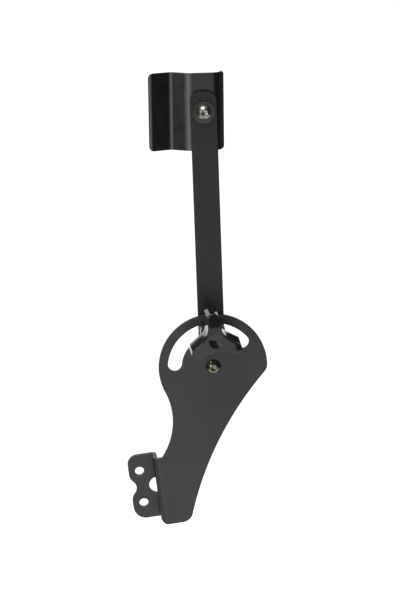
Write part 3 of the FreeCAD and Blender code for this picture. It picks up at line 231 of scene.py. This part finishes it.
def moulded_plastic(name, dark, light, gloss, grain_scale, grain_strength):
    """Moulded plastic, from matt nylon to gloss, with a fine skin and scuffed edges."""
    material, shader = new_material(name)
    colour = two_tone(material, noise(material, PLASTIC_CLOUDS, roughness=0.55), dark, light)
    scratches = span(material, noise(material, PLASTIC_SCUFFS), 0.0, 1.0, start=0.4)
    scuffs = times(material, edge_mask(material, PLASTIC_WEAR, strength=0.6), scratches)
    pale = brightened(light, gain=2.2, lift=0.02)
    wire(material, tint(material, scuffs, colour, pale), shader.inputs["Base Color"])
    grain = noise(material, grain_scale, detail=2.0)
    wire(material, span(material, grain, gloss * 0.8, gloss * 1.3), shader.inputs["Roughness"])
    add_bumps(material, shader, grain, grain_strength, PLASTIC_DEPTH)
    return material


# ---------------------------------------------------------------- materials


def plate_coat():
    """The bracket's coat."""
    dark = (0.0150, 0.0152, 0.0160)
    light = (0.0210, 0.0212, 0.0222)
    return powder_coat("plate_coat", dark, light, gloss=0.40, sheen=0.57, peel_strength=0.20, wear=0.5)


def arm_shaded_coat():
    """The arm's coat, a little darker than the plate's: painted shade for the arm lying behind the plate.
    """
    # the plate's coat darkened as painted shade, not a different paint
    dark = (0.0080, 0.0082, 0.0090)
    light = (0.0125, 0.0127, 0.0135)
    return powder_coat("arm_shaded_coat", dark, light, gloss=0.42, sheen=0.45, peel_strength=0.20, wear=0.5)


def cradle_shaded_coat():
    """The cradle's coat, glossier, smooth and hardly worn; its black is deepened far below the plate's as
    painted shade for its shaded left wall.
    """
    # tones far below the plate's coat: painted shade for the cradle's left wall
    dark = (0.0016, 0.0017, 0.0020)
    light = (0.0030, 0.0032, 0.0036)
    return powder_coat("cradle_shaded_coat", dark, light, gloss=0.28, sheen=1.0, peel_strength=0.05, wear=0.25)


def dark_nickel():
    """The pivot bolt's warm dark plating."""
    return plated_steel("dark_nickel", (0.140, 0.130, 0.100), (0.240, 0.225, 0.185), gloss=0.24)


def bright_nickel():
    """The cradle bolt's brighter plating."""
    return plated_steel("bright_nickel", (0.220, 0.210, 0.190), (0.350, 0.337, 0.310), gloss=0.30)


def washer_nickel():
    """The plating of the washer under the cradle bolt's head."""
    return plated_steel("washer_nickel", (0.060, 0.058, 0.050), (0.105, 0.100, 0.088), gloss=0.22)


def black_nickel():
    """The plating of the washer under the knob."""
    return plated_steel("black_nickel", (0.030, 0.030, 0.028), (0.055, 0.053, 0.048), gloss=0.22)


def zinc():
    """Bright zinc on the fixings behind the rack."""
    return plated_steel("zinc", (0.46, 0.47, 0.47), (0.62, 0.62, 0.60), gloss=0.30)


def brass():
    """The knob's threaded bush."""
    return plated_steel("brass", (0.58, 0.42, 0.17), (0.74, 0.57, 0.27), gloss=0.26)


def black_nylon():
    """Matt nylon of the friction washers and the slot's bush."""
    dark = (0.014, 0.014, 0.014)
    light = (0.024, 0.024, 0.024)
    return moulded_plastic("black_nylon", dark, light, gloss=0.52, grain_scale=900.0, grain_strength=0.25)


def white_nylon():
    """Nylon rings of the lock nuts."""
    dark = (0.62, 0.61, 0.56)
    light = (0.74, 0.73, 0.69)
    return moulded_plastic("white_nylon", dark, light, gloss=0.45, grain_scale=700.0, grain_strength=0.15)


def knob_gloss():
    """Glossy black plastic of the knob and its cap."""
    dark = (0.0075, 0.0085, 0.0090)
    light = (0.0115, 0.0130, 0.0135)
    return moulded_plastic("knob_gloss", dark, light, gloss=0.075, grain_scale=380.0, grain_strength=0.05)


# ---------------------------------------------------------------- finishes of the CAD pieces

FLAT_WASHERS = ("pivot_flat_washer", "cradle_flat_washer")
LOCK_NUTS = ("pivot_lock_nut", "cradle_lock_nut")
NUT_COLLARS = ("pivot_nut_collar", "cradle_nut_collar")
FRICTION_WASHERS = ("pivot_friction_washer", "clamp_friction_washer", "cradle_friction_washer")
FINISHES = (
    (plate_coat(), ("bracket_plate",)),
    # the arm's coat carries painted shade
    (arm_shaded_coat(), ("arm_bar",)),
    # the cradle's coat carries painted shade in its deepened black
    (cradle_shaded_coat(), ("cradle",)),
    (dark_nickel(), ("pivot_bolt",)),
    (bright_nickel(), ("cradle_bolt",)),
    (washer_nickel(), ("cradle_bolt_washer",)),
    (black_nickel(), ("clamp_washer",)),
    (zinc(), ("clamp_bolt", *FLAT_WASHERS, *LOCK_NUTS)),
    (brass(), ("knob_insert",)),
    (black_nylon(), ("slot_bush", "pivot_nylon_washer", *FRICTION_WASHERS)),
    (white_nylon(), NUT_COLLARS),
    (knob_gloss(), ("knob_body", "knob_cap")),
)
DISC_SOFTNESS = 0.35 * MM
NUT_SOFTNESS = 0.25 * MM


def dress(piece, material):
    """Give a piece one material."""
    piece.data.materials.clear()
    piece.data.materials.append(material)


def soften(piece, width):
    """Round a piece's sharp edges a little."""
    modifier = piece.modifiers.new("soften", "BEVEL")
    modifier.width = width
    modifier.segments = 2
    modifier.limit_method = "ANGLE"
    modifier.angle_limit = SHARP
    modifier.harden_normals = True


def finish_cad_pieces():
    """Give every CAD piece its material, and round the small turned and pressed ones."""
    for material, names in FINISHES:
        for name in names:
            dress(nodes[name], material)
    for name in ("cradle_bolt_washer", "clamp_washer", *FLAT_WASHERS, "knob_cap"):
        soften(nodes[name], DISC_SOFTNESS)
    for name in LOCK_NUTS + NUT_COLLARS:
        soften(nodes[name], NUT_SOFTNESS)


finish_cad_pieces()


# ---------------------------------------------------------------- turned and moulded meshes

SEGMENTS = 60


def even_steps(first, last, steps):
    """Values at even steps from one to another, both included."""
    return [first + (last - first) * step / steps for step in range(steps + 1)]


def ring_of(mesh, points):
    """A closed ring of corners."""
    return [mesh.verts.new(point) for point in points]


def add_ring(mesh, radius_at, height):
    """A ring round the local Z axis, its radius given for each direction."""
    points = []
    for step in range(SEGMENTS):
        angle = TURN * step / SEGMENTS
        radius = radius_at(angle)
        points.append((radius * math.cos(angle), radius * math.sin(angle), height))
    return ring_of(mesh, points)


def close(mesh, ring, height):
    """A shallow cone over a ring."""
    apex = mesh.verts.new((0, 0, height))
    for corner, following in zip(ring, ring[1:] + ring[:1]):
        mesh.faces.new((corner, following, apex))


def skin(mesh, rings, first_height, last_height):
    """A closed skin over a row of rings, a cone over each end."""
    for ring, below in zip(rings, rings[1:]):
        for step in range(len(ring)):
            after = (step + 1) % len(ring)
            mesh.faces.new((ring[step], ring[after], below[after], below[step]))
    close(mesh, rings[0], first_height)
    close(mesh, rings[-1], last_height)
    bmesh.ops.recalc_face_normals(mesh, faces=mesh.faces)


def standing_at(base):
    """The place of a mesh whose local X, Y and Z are the rack's X, Z and -Y."""
    across = (1, 0, 0, base.x)
    depth = (0, 0, -1, base.y)
    upright = (0, 1, 0, base.z)
    return Matrix((across, depth, upright, (0, 0, 0, 1)))


def stand_for(node, mesh, base, body):
    """Make a mesh drawn about the local Z axis stand for a CAD node, in the node's own material."""
    data = bpy.data.meshes.new(node + "_detailed")
    mesh.to_mesh(data)
    mesh.free()
    for polygon in data.polygons:
        polygon.use_smooth = True
    data.set_sharp_from_angle(angle=SHARP)
    piece = bpy.data.objects.new(node + "_detailed", data)
    piece.matrix_world = standing_at(base)
    bpy.context.scene.collection.objects.link(piece)
    dress(piece, nodes[node].data.materials[0])
    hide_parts(node)
    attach(piece, body)
    return piece


# ---------------------------------------------------------------- button head bolts

HEAD_RADIUS = 8.75 * MM
HEAD_HEIGHT = 5.5 * MM
RIM_HEIGHT = 0.9 * MM
RIM_BEVEL = 0.25 * MM
FLAT_RADIUS = 3.9 * MM
DOME_STEPS = 14
HEXAGON = 6
SOCKET_ACROSS = 6.0 * MM
SOCKET_DEPTH = 3.2 * MM
SOCKET_LEAD = 0.3 * MM
DRILL_CONE = 1.0 * MM
SHANK_RADIUS = 4.98 * MM
THREAD_LENGTH = 15 * MM
THREAD_DEPTH = 0.7 * MM
CREST = 0.2
PITCH = 1.5 * MM
RINGS_PER_PITCH = 8
TIP = 1.0 * MM


def in_hexagon(across):
    """Distance from a hexagon's middle to its side, for each direction."""
    sector = TURN / HEXAGON
    return lambda angle: across / 2 / math.cos(angle % sector - sector / 2)


def in_circle(radius):
    """The same distance in every direction."""
    return lambda angle: radius


def in_thread(depth, grip):
    """The thread's radius in each direction at a depth, its grooves fading in with the grip."""

    def radius(angle):
        phase = (depth / PITCH + angle / TURN) % 1
        groove = max(0.0, (1 + CREST) * (1 - abs(2 * phase - 1)) - CREST)
        return SHANK_RADIUS - THREAD_DEPTH * groove * grip

    return radius


def dome_rings(mesh):
    """Rings down the head's dome, an arc about a centre on the axis."""
    drop = (HEAD_RADIUS**2 - FLAT_RADIUS**2) / (HEAD_HEIGHT - RIM_HEIGHT)
    centre = (HEAD_HEIGHT + RIM_HEIGHT - drop) / 2
    dome = math.hypot(HEAD_RADIUS, RIM_HEIGHT - centre)
    top = math.atan2(HEAD_HEIGHT - centre, FLAT_RADIUS)
    rim = math.atan2(RIM_HEIGHT - centre, HEAD_RADIUS)
    for angle in even_steps(top, rim, DOME_STEPS):
        yield add_ring(mesh, in_circle(dome * math.cos(angle)), centre + dome * math.sin(angle))


def thread_rings(mesh, length):
    """Rings down the thread to the chamfer of the tip."""
    start = length - THREAD_LENGTH
    end = length - TIP
    for depth in even_steps(start, end, round((end - start) / PITCH * RINGS_PER_PITCH))[1:]:
        grip = min(1.0, (depth - start) / PITCH)
        yield add_ring(mesh, in_thread(depth, grip), -depth)


def bolt_rings(mesh, length):
    """The bolt's rings, from the socket's floor over the head and down to the tip."""
    mouth = SOCKET_ACROSS / math.sqrt(3) + SOCKET_LEAD / 2
    yield add_ring(mesh, in_hexagon(SOCKET_ACROSS), HEAD_HEIGHT - SOCKET_DEPTH)
    yield add_ring(mesh, in_hexagon(SOCKET_ACROSS), HEAD_HEIGHT - SOCKET_LEAD)
    yield add_ring(mesh, in_circle(mouth), HEAD_HEIGHT)
    yield from dome_rings(mesh)
    yield add_ring(mesh, in_circle(HEAD_RADIUS), RIM_BEVEL)
    yield add_ring(mesh, in_circle(HEAD_RADIUS - RIM_BEVEL), 0.0)
    yield add_ring(mesh, in_circle(SHANK_RADIUS), 0.0)
    yield add_ring(mesh, in_circle(SHANK_RADIUS), THREAD_LENGTH - length)
    yield from thread_rings(mesh, length)
    yield add_ring(mesh, in_circle(SHANK_RADIUS - TIP), -length)


def make_bolt(node, body):
    """A threaded button head bolt."""
    low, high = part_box(node)
    middle = (low + high) / 2
    length = high.y - low.y - HEAD_HEIGHT
    mesh = bmesh.new()
    skin(mesh, list(bolt_rings(mesh, length)), HEAD_HEIGHT - SOCKET_DEPTH - DRILL_CONE, -length)
    base = Vector((middle.x, low.y + HEAD_HEIGHT, middle.z))
    stand_for(node, mesh, base, body)


make_bolt("pivot_bolt", "bracket")
make_bolt("cradle_bolt", "arm")


# ---------------------------------------------------------------- knob

cap_low, cap_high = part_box("knob_cap")
insert_low, insert_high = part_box("knob_insert")

LOBES = 3
LOBE_REACH = 32 * MM
LOBE_CHAMFER = 3.2 * MM
LOBE_TAPER = math.radians(5)
LOBE_DRAFT = 1.1 * MM
HOLLOW_RADIUS = 25 * MM
HOLLOW_CENTRE = 37 * MM
CROWN_RADIUS = 160 * MM
EDGE_ROUND = 1.2 * MM
EDGE_SOFTNESS = 0.35 * MM
NECK_RADIUS = 14.5 * MM
NECK_LENGTH = 11 * MM
KNOB_FACE = insert_high.y - cap_low.y
LOBE_LENGTH = KNOB_FACE - NECK_LENGTH
CROWN_DEPTH = 5 * MM
CAP_RADIUS = 9 * MM
CAP_THICKNESS = cap_high.y - cap_low.y
INSERT_RADIUS = 8 * MM
INSERT_LENGTH = insert_high.y - insert_low.y

FACE_STEPS = 8
EDGE_STEPS = 5
FLANK_STEPS = 3
HOLLOW_STEPS = 10
DRAFT_STEPS = 4
BACK_SHARES = (0.4, 0.8, 1.0)


def half_lobe(inset):
    """Outline from a lobe's tip to the middle of the hollow beside it, the lobe lying along +X."""
    towards = math.pi / LOBES
    centre_x = HOLLOW_CENTRE * math.cos(towards)
    centre_y = HOLLOW_CENTRE * math.sin(towards)
    radius = HOLLOW_RADIUS + inset
    foot_x = centre_x - radius * math.sin(LOBE_TAPER)
    foot_y = centre_y - radius * math.cos(LOBE_TAPER)
    reach = LOBE_REACH - max(inset, 0.0)
    shoulder = reach - LOBE_CHAMFER

    def flank(x):
        return foot_y - (x - foot_x) * math.tan(LOBE_TAPER)

    points = [(reach, 0.0), (reach, flank(reach) - LOBE_CHAMFER)]
    for x in even_steps(shoulder, foot_x, FLANK_STEPS)[:-1]:
        points.append((x, flank(x)))
    for angle in even_steps(-TURN / 4 - LOBE_TAPER, towards - TURN / 2, HOLLOW_STEPS):
        points.append((centre_x + radius * math.cos(angle), centre_y + radius * math.sin(angle)))
    return points


def outline(inset):
    """The whole star, one lobe up."""
    half = half_lobe(inset)
    lobe = [(x, -y) for x, y in reversed(half[1:-1])] + half
    star = []
    for number in range(LOBES):
        turn = TURN / 4 + TURN * number / LOBES
        cosine = math.cos(turn)
        sine = math.sin(turn)
        star.extend((x * cosine - y * sine, x * sine + y * cosine) for x, y in lobe)
    return star


def on_circle(radius):
    """A point on a circle in the direction of each point of the star."""
    return [(radius * x / math.hypot(x, y), radius * y / math.hypot(x, y)) for x, y in outline(0.0)]


def crown(x, y):
    """Height of the crowned face."""
    return KNOB_FACE - CROWN_RADIUS + math.sqrt(CROWN_RADIUS**2 - x**2 - y**2)


def between(first, second, share):
    """The points part of the way from one ring to another."""
    pairs = zip(first, second)
    return [(x + (end_x - x) * share, y + (end_y - y) * share) for (x, y), (end_x, end_y) in pairs]


def flat(points, height):
    """Points at one height."""
    return [(x, y, height) for x, y in points]


def face_rings():
    """From the cap's seat over the crowned face and round its edge."""
    seat = on_circle(CAP_RADIUS)
    face = outline(EDGE_ROUND)
    yield flat(seat, KNOB_FACE - CAP_THICKNESS)
    for step in range(FACE_STEPS):
        yield [(x, y, crown(x, y)) for x, y in between(seat, face, step / FACE_STEPS)]
    for angle in even_steps(0.0, TURN / 4, EDGE_STEPS):
        inset = EDGE_ROUND * (1 - math.sin(angle))
        drop = EDGE_ROUND * (1 - math.cos(angle))
        yield [(x, y, crown(x, y) - drop) for x, y in outline(inset)]


def side_rings():
    """Down the drafted sides of the lobes and round their back edge."""
    bottom = NECK_LENGTH + EDGE_ROUND
    for height in even_steps(KNOB_FACE - CROWN_DEPTH, bottom, DRAFT_STEPS):
        draft = LOBE_DRAFT * (KNOB_FACE - height) / LOBE_LENGTH
        yield flat(outline(-draft), height)
    for angle in even_steps(0.0, TURN / 4, EDGE_STEPS)[1:]:
        inset = EDGE_ROUND * (1 - math.cos(angle)) - LOBE_DRAFT
        yield flat(outline(inset), bottom - EDGE_ROUND * math.sin(angle))


def neck_rings():
    """Across the lobes' back, down the neck, and up the bore that holds the insert."""
    neck = on_circle(NECK_RADIUS)
    back = outline(EDGE_ROUND - LOBE_DRAFT)
    bore = on_circle(INSERT_RADIUS)
    for share in BACK_SHARES:
        yield flat(between(back, neck, share), NECK_LENGTH)
    yield flat(neck, EDGE_ROUND / 2)
    yield flat(on_circle(NECK_RADIUS - EDGE_ROUND / 2), 0.0)
    yield flat(bore, 0.0)
    yield flat(bore, INSERT_LENGTH)


def make_knob():
    """The three-lobe knob, moulded with draft, chamfered lobes and a crowned face."""
    mesh = bmesh.new()
    rings = [ring_of(mesh, points) for points in (*face_rings(), *side_rings(), *neck_rings())]
    skin(mesh, rings, KNOB_FACE - CAP_THICKNESS, INSERT_LENGTH)
    middle = (insert_low + insert_high) / 2
    base = Vector((middle.x, insert_high.y, middle.z))
    knob = stand_for("knob_body", mesh, base, "knob")
    soften(knob, EDGE_SOFTNESS)


make_knob()


# ---------------------------------------------------------------- camera

# a long lens from slightly above and to the left, rolled so that the rack leans to the left
AIM = Vector((0.0961, -0.0235, 0.2227))
AZIMUTH = -3.48
ELEVATION = 15.8
ROLL = math.radians(7.44)
DISTANCE = 2.4
LENS = 125.2
SENSOR = 36.0


def direction(azimuth, elevation):
    """Unit vector towards a point seen from the rack, azimuth 0 being straight out of the wall."""
    sideways = math.radians(azimuth)
    upwards = math.radians(elevation)
    level = math.cos(upwards)
    return Vector((math.sin(sideways) * level, -math.cos(sideways) * level, math.sin(upwards)))


def make_camera():
    """The camera, its picture's upright turned about its line of sight by the roll."""
    camera = bpy.data.objects.new("Camera", bpy.data.cameras.new("Camera"))
    bpy.context.scene.collection.objects.link(camera)
    back = direction(AZIMUTH, ELEVATION)
    right = Vector((0, 0, 1)).cross(back).normalized()
    above = back.cross(right)
    across = math.cos(ROLL) * right - math.sin(ROLL) * above
    upright = math.sin(ROLL) * right + math.cos(ROLL) * above
    turned = Matrix((across, upright, back)).transposed()
    camera.matrix_world = Matrix.Translation(AIM + back * DISTANCE) @ turned.to_4x4()
    camera.data.lens = LENS
    camera.data.sensor_width = SENSOR
    camera.data.dof.use_dof = False
    bpy.context.scene.camera = camera


make_camera()


# ---------------------------------------------------------------- studio, sizes in metres

CENTRE = (cad_low + cad_high) / 2
FLOOR = cad_low.z - 0.35
FLOOR_REACH = 30.0
FLOOR_TONE = 0.5
FLOOR_GLOW = 0.88
CARD_TONE = 0.004
TENT_SIDES = 24
TENT_REACH = 24.0
TENT_FOOT = FLOOR - 0.1
TENT_TOP = 40.0
TENT_GLOW = 0.98
SURROUND_GLOW = 0.25


def paper(name, tone, glow):
    """A matt grey paper that glows white as well."""
    material, shader = new_material(name)
    shader.inputs["Base Color"].default_value = (tone, tone, tone, 1.0)
    shader.inputs["Specular IOR Level"].default_value = 0.0
    shader.inputs["Emission Color"].default_value = WHITE
    shader.inputs["Emission Strength"].default_value = glow
    return material


def studio_sheet(name, corners, faces, material):
    """A sheet of the studio, not part of the rack."""
    mesh = bpy.data.meshes.new(name)
    mesh.from_pydata(corners, [], faces)
    mesh.materials.append(material)
    sheet = bpy.data.objects.new(name, mesh)
    bpy.context.scene.collection.objects.link(sheet)
    return sheet


def make_floor():
    """A wide pale floor, far enough below the rack to catch no hard shadow."""
    signs = ((-1, -1), (1, -1), (1, 1), (-1, 1))
    corners = [(x * FLOOR_REACH, y * FLOOR_REACH, FLOOR) for x, y in signs]
    studio_sheet("floor", corners, [(0, 1, 2, 3)], paper("floor_paper", FLOOR_TONE, FLOOR_GLOW))


def make_backdrop():
    """A plain white tent all round, far away, with a lid. Only the camera sees it."""
    corners = []
    walls = []
    for side in range(TENT_SIDES):
        angle = TURN * side / TENT_SIDES
        x = TENT_REACH * math.cos(angle)
        y = TENT_REACH * math.sin(angle)
        corners += [(x, y, TENT_FOOT), (x, y, TENT_TOP)]
        foot = 2 * side
        next_foot = 2 * ((side + 1) % TENT_SIDES)
        walls.append((foot, next_foot, next_foot + 1, foot + 1))
    lid = tuple(range(1, 2 * TENT_SIDES, 2))
    backdrop = studio_sheet("backdrop", corners, walls + [lid], paper("backdrop_paper", 0.0, TENT_GLOW))
    backdrop.visible_diffuse = False
    backdrop.visible_glossy = False
    backdrop.visible_transmission = False
    backdrop.visible_shadow = False


def make_card(name, azimuth, distance, width, top, glow, lift=0.01):
    """An upright card round the rack, dark or white, standing near the floor. The camera doesn't see it."""
    towards = direction(azimuth, 0)
    side = Vector((towards.y, -towards.x, 0))
    left = CENTRE + towards * distance - side * width / 2
    right = left + side * width
    foot = FLOOR + lift
    ends = ((left, foot), (right, foot), (right, top), (left, top))
    corners = [(end.x, end.y, level) for end, level in ends]
    card = studio_sheet(name, corners, [(0, 1, 2, 3)], paper(name + "_cloth", CARD_TONE, glow))
    card.visible_camera = False


def make_panel(name, azimuth, elevation, distance, width, height, power):
    """A soft box that faces the rack from a direction."""
    light = bpy.data.lights.new(name, "AREA")
    light.shape = "RECTANGLE"
    light.size = width
    light.size_y = height
    light.energy = power
    holder = bpy.data.objects.new(name, light)
    bpy.context.scene.collection.objects.link(holder)
    towards = direction(azimuth, elevation)
    holder.location = CENTRE + towards * distance
    holder.rotation_mode = "QUATERNION"
    holder.rotation_quaternion = towards.to_track_quat("Z", "Y")


def make_surround():
    """A plain white world."""
    world = bpy.data.worlds.new("surround")
    world.use_nodes = True
    background = world.node_tree.nodes["Background"]
    background.inputs["Color"].default_value = WHITE
    background.inputs["Strength"].default_value = SURROUND_GLOW
    bpy.context.scene.world = world


make_surround()
make_floor()
make_backdrop()
make_card("flag_right", 60, distance=0.9, width=1.4, top=1.4, glow=0.04)
make_card("flag_right_rear", 126, distance=1.0, width=1.1, top=1.4, glow=0.09)
make_card("flag_left", -75, distance=1.0, width=1.1, top=1.6, glow=0.09)
make_card("flag_left_rear", -124, distance=1.0, width=1.0, top=1.6, glow=0.02)
make_card("flag_front", 3, distance=2.6, width=2.0, top=1.1, glow=0.06, lift=0.38)
make_card("back_wall", 180, distance=3.0, width=7.0, top=3.6, glow=1.0)
make_panel("strip_left", -23, 4, distance=1.6, width=0.55, height=1.6, power=3.6)
make_panel("top_box", -12, 66, distance=1.8, width=1.0, height=0.8, power=18)
make_panel("glint_left", -40, 22, distance=1.6, width=0.16, height=0.16, power=3.0)
make_panel("glint_right", 24, 30, distance=1.6, width=0.14, height=0.14, power=2.4)
bpy.context.scene.view_settings.view_transform = "Standard"
